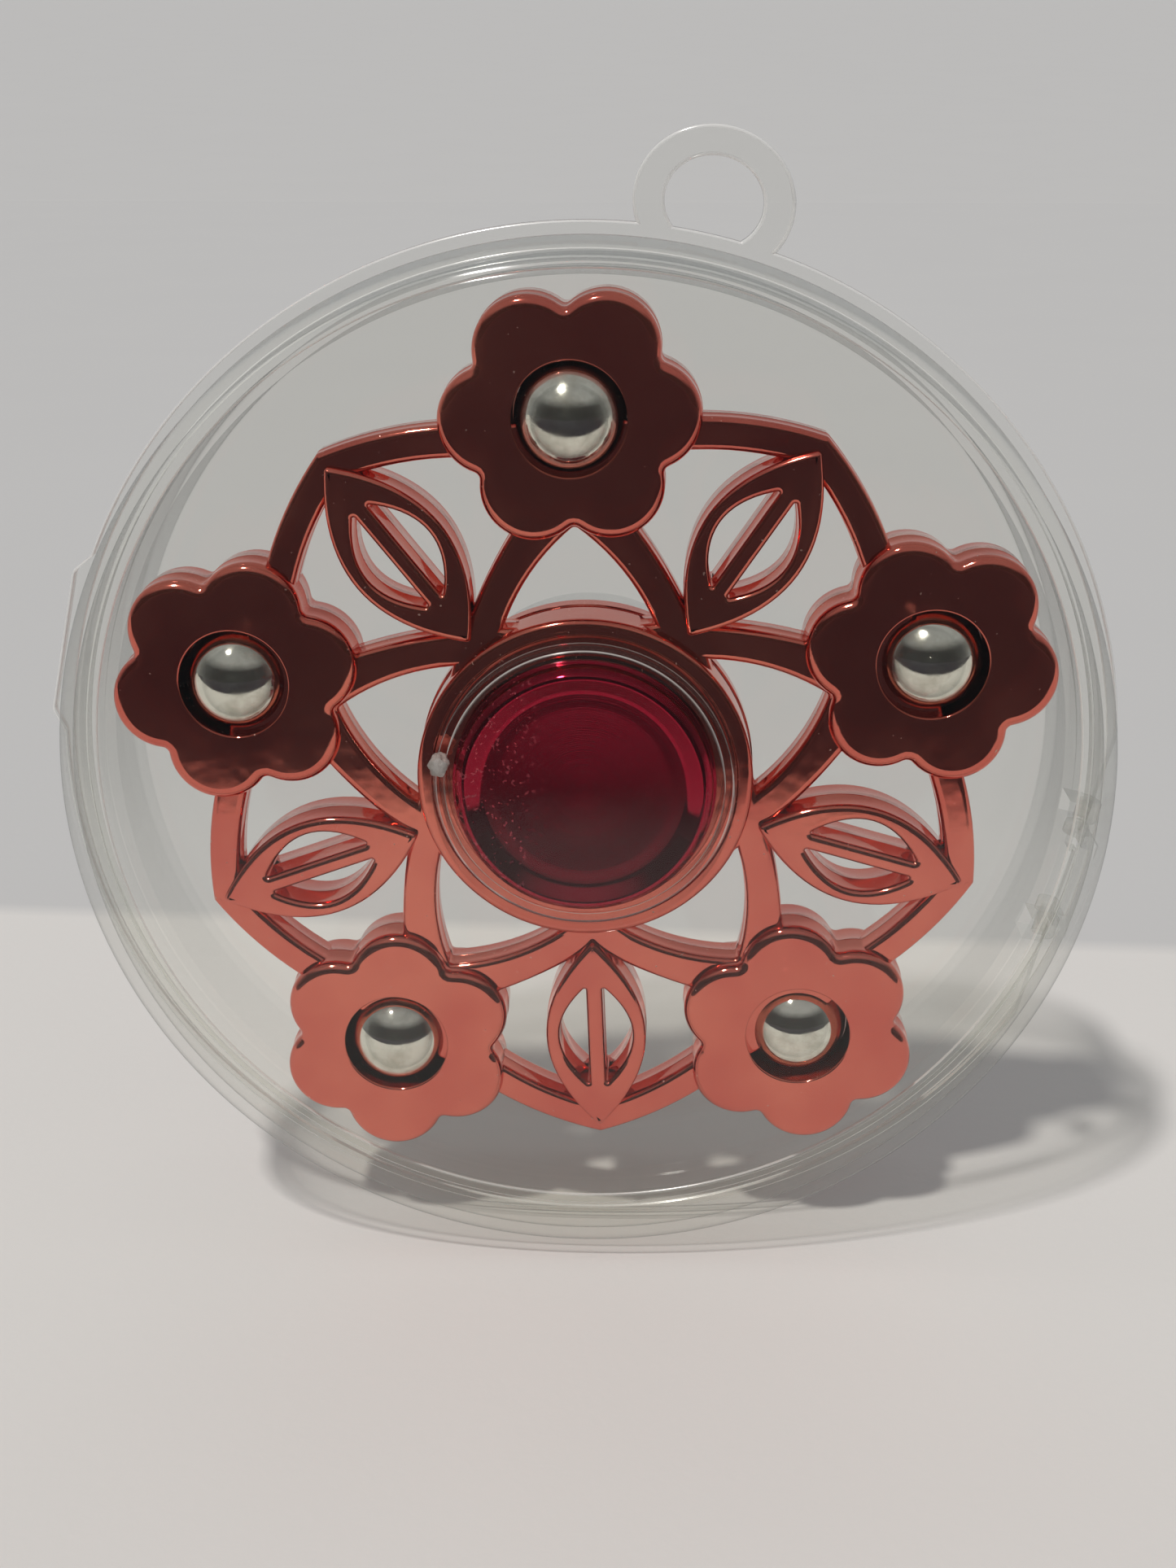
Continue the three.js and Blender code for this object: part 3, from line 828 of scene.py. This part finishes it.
def capPiece(name, side):
    r, under, stem, shoulder = cap["radius"], cap["under"], cap["stem"], cap["shoulder"]
    crest, crestAt, band, collar = cap["crest"], cap["crestAt"], cap["bandTop"], cap["collarUnder"]
    dish, floor = cap["dishRadius"], crest - cap["dishDepth"]
    edge, edgeZ = dish - cap["dishEdge"][0], floor - cap["dishEdge"][1]
    outside = roundCorners([
        (0, cap["stemEnd"], 0), (stem, cap["stemEnd"], 0.25),
        (stem, collar, 0.1), (shoulder - cap["collarWidth"], collar, 0.1),
        (shoulder, under, 0.1), (r, under, 0.16), (r, band, 0.16),
        (r - cap["bandStep"][0], band + cap["bandStep"][1], 0.1),
        (r - cap["slopeFrom"][0], crest - cap["slopeFrom"][1], 0.3), (crestAt, crest, 0.45),
        (crestAt - cap["crestWidth"], crest, 0.4), (dish, floor, 0.9), (edge, edgeZ, 0),
    ], closed=False, hold=0, stepAngle=7)
    for i in range(1, cap["dishSteps"] + 1):
        t = 1 - i / cap["dishSteps"]
        outside.append((edge * t, edgeZ - cap["dishHollow"] * (1 - t * t)))
    return turnedPiece(name, [(x, z * side) for x, z in outside], cap["steps"])


place(capPiece("capFront", 1), "hub", capFinish, "cap_red", "cap_front")
place(capPiece("capRear", -1), "hub", capFinish, "cap_red", "cap_rear")
print("caps turned")


# The clear case: a tray with a flange, and a cover hinged to it.

case = {
    "wall": 1.1,
    "trayInner": 45.185,
    "flange": 49.785,
    "flangeFront": -0.92,
    "flangeThick": 1.2,
    "backFace": -13.82,
    "coverRadius": 48.685,
    "coverFace": 7.9,
    "coverEdge": -0.62,
    "coverRound": 3.0,
    "draft": 0.5,
    "ringInner": 12.9,
    "ringWall": 0.9,
    "ringEnd": 4.3,
    "spigotRise": 2.3,
    "steps": 224,
}
hinge = {
    "radius": 47.735,
    "depth": -4.32,
    "lug": 1.6,
    "knuckle": 1.15,
    "pin": 0.6,
    "lugOffset": 6.3,
    "lugWidth": 2.2,
    "knuckleWidth": 1.3,
    "gap": 0.3,
    "flatDepth": 0.35,     # how far inside the hinge line the flange is cut flat
    "steps": 32,
}
loop = {
    "turn": 91.5,          # degrees on from the hinge
    "outer": (7.0, 6.3),
    "hole": (4.25, 3.75),
    "centre": 2.6,
    "root": 0.6,
    "thick": 1.2,
    "edge": 0.28,
}
tab = {
    "turn": 180,
    "reach": 0.7,
    "root": 1.4,
    "half": (7.0, 9.6),    # half its width at the end and at the root
    "corner": 1.2,
    "edge": 0.25,
}


def boxPiece(name, xs, ys, zs):  # a small moulded block; x runs out towards the hinge
    work = bmesh.new()
    bmesh.ops.create_cube(work, size=1)
    for vert in work.verts:
        x = xs[0] + (xs[1] - xs[0]) * (vert.co.x + 0.5)
        y = ys[0] + (ys[1] - ys[0]) * (vert.co.y + 0.5)
        z = zs[0] + (zs[1] - zs[0]) * (vert.co.z + 0.5)
        vert.co = toRow(*turnPoint((x, y), hingeTurn), z)
    bmesh.ops.recalc_face_normals(work, faces=work.faces)
    return pieceFromWork(name, work)


def barrelPiece(name, radius, start, end, edge=0.15):  # a short rod along the hinge line
    rounded = roundCorners([(0, start, 0), (radius, start, edge), (radius, end, edge),
                            (0, end, 0)], closed=False, hold=0.05)
    verts = []
    steps = hinge["steps"]
    for r, along in rounded:
        for k in range(steps):
            a = 2 * math.pi * k / steps
            x, z = hinge["radius"] + r * math.cos(a), hinge["depth"] + r * math.sin(a)
            verts.append(toRow(*turnPoint((x, along), hingeTurn), z))
    return makePiece(name, verts, stackedFaces(len(rounded), steps))


def coverPiece():
    wall, outerTop = case["wall"], case["coverRadius"] - case["draft"]
    inside = case["coverFace"] - wall
    ringOuter = case["ringInner"] + case["ringWall"]
    profile = roundCorners([
        (0, inside, 0), (case["ringInner"], inside, 0.15), (case["ringInner"], case["ringEnd"], 0.14),
        (ringOuter, case["ringEnd"], 0.14), (ringOuter, inside, 0.15),
        (outerTop - wall, inside, case["coverRound"] - wall),
        (case["coverRadius"] - wall - 0.1, case["coverEdge"], 0.12),
        (case["coverRadius"], case["coverEdge"], 0.12),
        (outerTop, case["coverFace"], case["coverRound"]), (0, case["coverFace"], 0),
    ], closed=False, stepAngle=9)
    return turnedPiece("cover", profile, case["steps"])


def fromHingeLine(point):  # distance in mm
    along = (point - hingePoint).dot(hingeAxis)
    return (point - hingePoint - hingeAxis * along).length / mm


# Gives the painted-highlight finish to the faces of a clear piece's small fillets, and a milkier,
# glossier finish to its hinge ears.
def paintEdgeHighlights(piece, isEdge):
    piece.data.materials.append(edgeHighlightFinish)
    piece.data.materials.append(earFinish)
    for face in piece.data.polygons:
        x, y = (face.center.x - spinCentre.x) / mm, (face.center.z - spinCentre.z) / mm
        z = (spinCentre.y - face.center.y) / mm
        tilt = abs(face.normal.y)
        if fromHingeLine(face.center) < hinge["lug"] + 0.15:
            face.material_index = 2
        elif 0.1 < tilt < 0.99 and isEdge(math.hypot(x, y), z):
            face.material_index = 1


def onRingEnd(r, z):
    return case["ringInner"] - 0.3 < r < case["ringInner"] + case["ringWall"] + 0.3 and \
        abs(z) < case["ringEnd"] + 0.25


knuckleAt = hinge["lugOffset"] - hinge["lugWidth"] / 2 - hinge["gap"] - hinge["knuckleWidth"] / 2
cover = coverPiece()
coverParts = []
for side in (-1, 1):
    y, half = side * knuckleAt, hinge["knuckleWidth"] / 2
    arm = (case["coverRadius"] - case["wall"] + 0.1, case["coverRadius"] - 0.15)
    coverParts.append(boxPiece("arm", arm, (y - half, y + half),
                               (hinge["depth"], case["coverEdge"] + 2)))
    coverParts.append(barrelPiece("knuckle", hinge["knuckle"], y - half, y + half))
    reach = half + hinge["gap"] + hinge["lugWidth"]
    ends = (y, y + reach) if side > 0 else (y - reach, y)
    coverParts.append(barrelPiece("pin", hinge["pin"], *ends, edge=0.1))
caseFront = combine(cover, coverParts, "UNION")
caseFront.name = "caseFront"
sharpen(caseFront, 35)
place(caseFront, "lid", clearFinish, "clear_plastic", "case_front")
# the ring's end and the cover's rim edge get the painted highlight
paintEdgeHighlights(caseFront, lambda r, z: onRingEnd(r, z) or z < case["coverEdge"] + 0.3)


gate = {
    "turn": 182.5,         # degrees on from the hinge
    "inset": 0.35,
    "radius": 1.05,
    "rootShare": 0.25,     # how much of the radius is left where it tapers off
    "lumps": (0.82, 0.3),
    "lumpScale": 1.7,
    "rows": 16,
    "steps": 32,
}


def gatePiece():
    ringOuter = case["ringInner"] + case["ringWall"]
    at = turnPoint((ringOuter - gate["inset"], 0), gate["turn"] + hingeTurn)
    base, top = case["ringEnd"] + 0.05, case["coverFace"] - case["wall"] - 0.02
    rows, steps, scale, root = gate["rows"], gate["steps"], gate["lumpScale"], gate["rootShare"]
    verts = []
    for i in range(rows + 1):
        t = i / rows
        swell = gate["radius"] * (root + (1 - root) * math.sin(math.pi * (0.12 + 0.55 * t)) ** 0.7)
        for k in range(steps):
            a = 2 * math.pi * k / steps
            spot = Vector((math.cos(a) * scale, math.sin(a) * scale, t * 3))
            r = swell * (gate["lumps"][0] + gate["lumps"][1] * noise.noise(spot))
            z = base + (top - base) * t
            verts.append(toRow(at[0] + r * math.cos(a), at[1] + r * math.sin(a), z))
    faces = stackedFaces(rows + 1, steps)
    faces.append(list(range(steps)))
    faces.append(list(range(rows * steps, rows * steps + steps)))
    return makePiece("gateMark", verts, faces)


gateMark = gatePiece()
gateMark.data.materials.append(gateFinish)
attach(gateMark, "lid")
print("cover moulded:", len(caseFront.data.polygons), "faces")


def trayPiece():
    wall, back = case["wall"], case["backFace"]
    trayOuter = case["trayInner"] + wall
    flangeBack = case["flangeFront"] - case["flangeThick"]
    spigotOuter = case["coverRadius"] - wall - 0.5
    spigotTop = case["flangeFront"] + case["spigotRise"]
    ringOuter = case["ringInner"] + case["ringWall"]
    profile = roundCorners([
        (0, back, 0), (trayOuter, back, 2.2), (trayOuter, flangeBack, 0.2),
        (case["flange"], flangeBack, 0.22), (case["flange"], case["flangeFront"], 0.22),
        (spigotOuter, case["flangeFront"], 0.12), (spigotOuter, spigotTop, 0.2),
        (spigotOuter - wall, spigotTop, 0.2), (spigotOuter - wall, case["flangeFront"] - 0.4, 0.1),
        (case["trayInner"], flangeBack, 0.2), (case["trayInner"], back + wall, 1.1),
        (ringOuter, back + wall, 0.15), (ringOuter, -case["ringEnd"], 0.14),
        (case["ringInner"], -case["ringEnd"], 0.14), (case["ringInner"], back + wall, 0.15),
        (0, back + wall, 0),
    ], closed=False, stepAngle=9)
    return turnedPiece("tray", profile, case["steps"])


def ovalLoop(halves, count):
    centre = case["flange"] + loop["centre"]
    points = []
    for i in range(count):
        a = 2 * math.pi * i / count
        points.append((centre + halves[1] * math.cos(a), halves[0] * math.sin(a)))
    return turnPoints(points, loop["turn"] + hingeTurn)


def hangLoopPiece():
    middle = case["flangeFront"] - case["flangeThick"] + loop["thick"] / 2
    loops = [(ovalLoop(loop["outer"], 96), loop["edge"]),
             (clockwise(ovalLoop(loop["hole"], 72)), loop["edge"])]
    piece = platePiece("hangLoop", loops, loop["thick"], mid=middle, hold=0.06)
    inside = rodPiece("inside", case["flange"] - loop["root"], case["steps"])
    return combine(piece, [inside], "DIFFERENCE")


def tabPiece():
    inner, outer = case["flange"] - tab["root"], case["flange"] + tab["reach"]
    endHalf, rootHalf = tab["half"]
    corners = [(inner, -rootHalf, 0), (outer, -endHalf, tab["corner"]),
               (outer, endHalf, tab["corner"]), (inner, rootHalf, 0)]
    outline = turnPoints(roundCorners(corners, hold=0), tab["turn"] + hingeTurn)
    middle = case["flangeFront"] - case["flangeThick"] / 2
    return platePiece("thumbTab", [(clockwise(outline, wanted=False), tab["edge"])],
                      case["flangeThick"], mid=middle, hold=0.06)


tray = trayPiece()
trayOuter = case["trayInner"] + case["wall"]
flangeBack = case["flangeFront"] - case["flangeThick"]
cutters = [boxPiece("flat", (hinge["radius"] - hinge["flatDepth"], case["flange"] + 1), (-20, 20),
                    (flangeBack - 0.5, case["flangeFront"] + 0.2))]
additions = []
holes = []
for side in (-1, 1):
    y, half = side * hinge["lugOffset"], hinge["lugWidth"] / 2
    additions.append(barrelPiece("lug", hinge["lug"], y - half, y + half, edge=0.3))
    additions.append(boxPiece("lugRoot", (case["trayInner"] + 0.5, hinge["radius"]),
                              (y - half, y + half),
                              (hinge["depth"] - hinge["lug"], flangeBack + 0.2)))
    holes.append(barrelPiece("pinHole", hinge["pin"] + 0.1, y - half - 1, y + half + 1, edge=0))
    k, room = side * knuckleAt, hinge["knuckleWidth"] / 2 + hinge["gap"]
    cutters.append(boxPiece("notch", (trayOuter + 0.15, case["flange"] + 1), (k - room, k + room),
                            (flangeBack - 0.3, case["flangeFront"] + 1)))
    holes.append(barrelPiece("swing", hinge["knuckle"] + hinge["gap"], k - room, k + room, edge=0))
combine(tray, cutters, "DIFFERENCE")
combine(tray, additions + [tabPiece(), hangLoopPiece()], "UNION")
combine(tray, holes, "DIFFERENCE")
caseBack = tray
caseBack.name = "caseBack"
sharpen(caseBack, 35)
place(caseBack, "case", clearFinish, "clear_plastic", "case_back")
# the ring's end, the flange's outer edge and the spigot's top get the painted highlight
paintEdgeHighlights(caseBack, lambda r, z: onRingEnd(r, z) or r > case["flange"] - 0.35 or
            z > case["flangeFront"] + case["spigotRise"] - 0.3)
print("tray moulded:", len(caseBack.data.polygons), "faces")


# The bearing is hidden behind the caps, so its pieces keep the shapes they come with.

bearingFinishes = {
    "bearing_outer_ring": ringFinish,
    "bearing_inner_ring": ringFinish,
    "bearing_shield_front": ringFinish,
    "bearing_shield_rear": ringFinish,
    "bearing_cage": cageFinish,
}
for node, piece in frame["nodes"].items():
    if node.startswith("bearing_"):
        finish = bearingFinishes.get(node, steelFinish)
        piece.data.materials.clear()
        piece.data.materials.append(finish)
print("bearing finished")


# The stage: a pale floor, a dark sheet of painted shade in front that only mirror surfaces see, a lamp
# and the camera.

floorLook = {
    "half": 9.0,
    "riseFrom": 1.5,       # far behind, the sheet climbs a little to hide its own edge
    "rise": 0.45,
    "near": (0.72, 0.705, 0.69),
    "far": (0.56, 0.56, 0.565),
    "foldAt": 0.0665,      # behind this line the paper is painted greyer, as painted shade of an upright backdrop
    "foldSlope": -0.044,
    "foldBlur": 0.002,
    "grainScale": 700,
    "waveScale": 14,
    "waveColour": (0.50, 0.50, 0.51),
    "wave": 0.10,
}


def paperFinish():
    look = floorLook
    material, tree, shader = startMaterial("palePaper")
    here = ownPlace(tree)
    parts = addNode(tree, "ShaderNodeSeparateXYZ")
    tree.links.new(here, parts.inputs[0])
    across = addMath(tree, "MULTIPLY", parts.outputs["X"], look["foldSlope"])
    behind = addMath(tree, "SUBTRACT", parts.outputs["Y"], across)
    fold, blur = look["foldAt"], look["foldBlur"]
    # painted shade: the paper turns to the far colour behind the fold line
    foldShade = addRange(tree, behind, fold - blur, fold + blur, 0, 1)
    grain = addNoise(tree, here, look["grainScale"], 4)
    wave = addRange(tree, addNoise(tree, here, look["waveScale"], 2), 0.3, 0.7, 0, look["wave"])
    tone = addMix(tree, foldShade, look["near"], look["far"])
    shaded = addMix(tree, wave, tone, look["waveColour"])
    tree.links.new(shaded, shader.inputs["Base Color"])
    shader.inputs["Roughness"].default_value = 0.75
    tree.links.new(addBump(tree, grain, 0.12, 0.0003), shader.inputs["Normal"])
    return material


def stageCard(name, corners, material, faces=((0, 1, 2, 3),)):
    mesh = bpy.data.meshes.new(name)
    mesh.from_pydata(corners, [], faces)
    mesh.materials.append(material)
    card = addObject(name, mesh)
    return card


half, bend, rise = (floorLook[k] for k in ("half", "riseFrom", "rise"))
stageCard("floor", [(-half, -half, 0), (half, -half, 0), (half, bend, 0), (-half, bend, 0),
                    (half, half, rise), (-half, half, rise)],
          paperFinish(), [(0, 1, 2, 3), (3, 2, 4, 5)])

# Painted shade: a dark sheet on the floor in front, seen only in mirror reflections, varying at random
# between two dark tones.
shadeSheetLook = {
    "nearEdge": -0.117,
    "fullAt": -0.139,
    "farEdge": -9.0,
    "half": 9.0,
    "lift": 0.0006,
    "shade": (0.020, 0.019, 0.030),
    "paleShade": (0.035, 0.032, 0.045),
    "shadeNoiseScale": 60,
}


def paintedShadeFinish():  # painted shade: a dark sheet that only mirror surfaces see, standing in for the shaded room in front, fading in away from the object
    look = shadeSheetLook
    material, tree, shader = startMaterial("paintedShadeSheet")
    bounce = addNode(tree, "ShaderNodeLightPath").outputs["Glossy Depth"]
    here = ownPlace(tree)
    parts = addNode(tree, "ShaderNodeSeparateXYZ")
    tree.links.new(here, parts.inputs[0])
    shadeNoise = addNoise(tree, here, look["shadeNoiseScale"], 3)
    tree.links.new(addMix(tree, shadeNoise, look["shade"], look["paleShade"]), shader.inputs["Base Color"])
    shader.inputs["Roughness"].default_value = 1
    fade = addRange(tree, parts.outputs["Y"], look["nearEdge"], look["fullAt"], 0, 1)
    mirrored = addMath(tree, "MINIMUM", bounce, 1.0)
    tree.links.new(addMath(tree, "MULTIPLY", fade, mirrored), shader.inputs["Alpha"])
    return material


# The painted shade sheet is hidden from the camera, from shadows and from diffuse light.
wide, near, far, lift = (shadeSheetLook[k] for k in ("half", "nearEdge", "farEdge", "lift"))
shadeSheet = stageCard("paintedShadeSheet", [(-wide, far, lift), (wide, far, lift), (wide, near, lift),
                              (-wide, near, lift)], paintedShadeFinish())
shadeSheet.visible_camera = False
shadeSheet.visible_diffuse = False
shadeSheet.visible_shadow = False

lightLook = {
    "direction": (0.30, 0.47, -1.0),
    "strength": 2.05,
    "softness": 3.5,       # degrees across
    "colour": (1.0, 0.965, 0.92),
    "skyColour": (0.97, 0.985, 1.0),
    "back": 0.50,
    "front": 0.045,
    "sideSpan": (-0.35, 0.35),
    "above": 0.36,
    "aboveSpan": (0.38, 0.62),
    "backdrop": 0.46,      # what is seen behind the floor
}


def buildLight():
    look = lightLook
    lamp = bpy.data.lights.new("keyLamp", "SUN")
    lamp.energy = look["strength"]
    lamp.angle = math.radians(look["softness"])
    lamp.color = look["colour"]
    key = addObject("keyLamp", lamp)
    key.rotation_mode = "QUATERNION"
    key.rotation_quaternion = Vector(look["direction"]).to_track_quat("-Z", "Y")
    world = bpy.data.worlds.new("studio")
    world.use_nodes = True
    bpy.context.scene.world = world
    tree = world.node_tree
    towards = addNode(tree, "ShaderNodeTexCoord").outputs["Generated"]
    parts = addNode(tree, "ShaderNodeSeparateXYZ")
    tree.links.new(towards, parts.inputs[0])
    level = addRange(tree, parts.outputs["Y"], *look["sideSpan"], look["front"], look["back"])
    upward = addRange(tree, parts.outputs["Z"], *look["aboveSpan"], 0, 1)
    blend = addNode(tree, "ShaderNodeMix", data_type="FLOAT")
    tree.links.new(upward, blend.inputs[0])
    tree.links.new(level, blend.inputs[2])
    blend.inputs[3].default_value = look["above"]
    background = tree.nodes["Background"]
    background.inputs["Color"].default_value = (*look["skyColour"], 1)
    inSight = addNode(tree, "ShaderNodeLightPath").outputs["Is Camera Ray"]
    seen = addNode(tree, "ShaderNodeMix", data_type="FLOAT")
    tree.links.new(inSight, seen.inputs[0])
    tree.links.new(blend.outputs[0], seen.inputs[2])
    seen.inputs[3].default_value = look["backdrop"]
    tree.links.new(seen.outputs[0], background.inputs["Strength"])


cameraLook = {
    "place": (6.03, -168.91, 112.21),  # mm
    "down": 21.047,
    "turn": 2.014,
    "sensor": 36,
    "lens": 43.13,
    "nearest": 0.005,
}


def buildCamera():
    look = cameraLook
    lens = bpy.data.cameras.new("viewCamera")
    lens.sensor_width = look["sensor"]
    lens.lens = look["lens"]
    lens.clip_start = look["nearest"]
    camera = addObject("viewCamera", lens)
    camera.location = Vector(look["place"]) * mm
    camera.rotation_euler = (math.radians(90 - look["down"]), 0, math.radians(look["turn"]))
    bpy.context.scene.camera = camera


buildLight()
buildCamera()
bpy.context.scene.view_settings.view_transform = "Standard"
bpy.context.scene.cycles.transparent_max_bounces = 32  # the case has many clear walls in line
print("light and camera set")
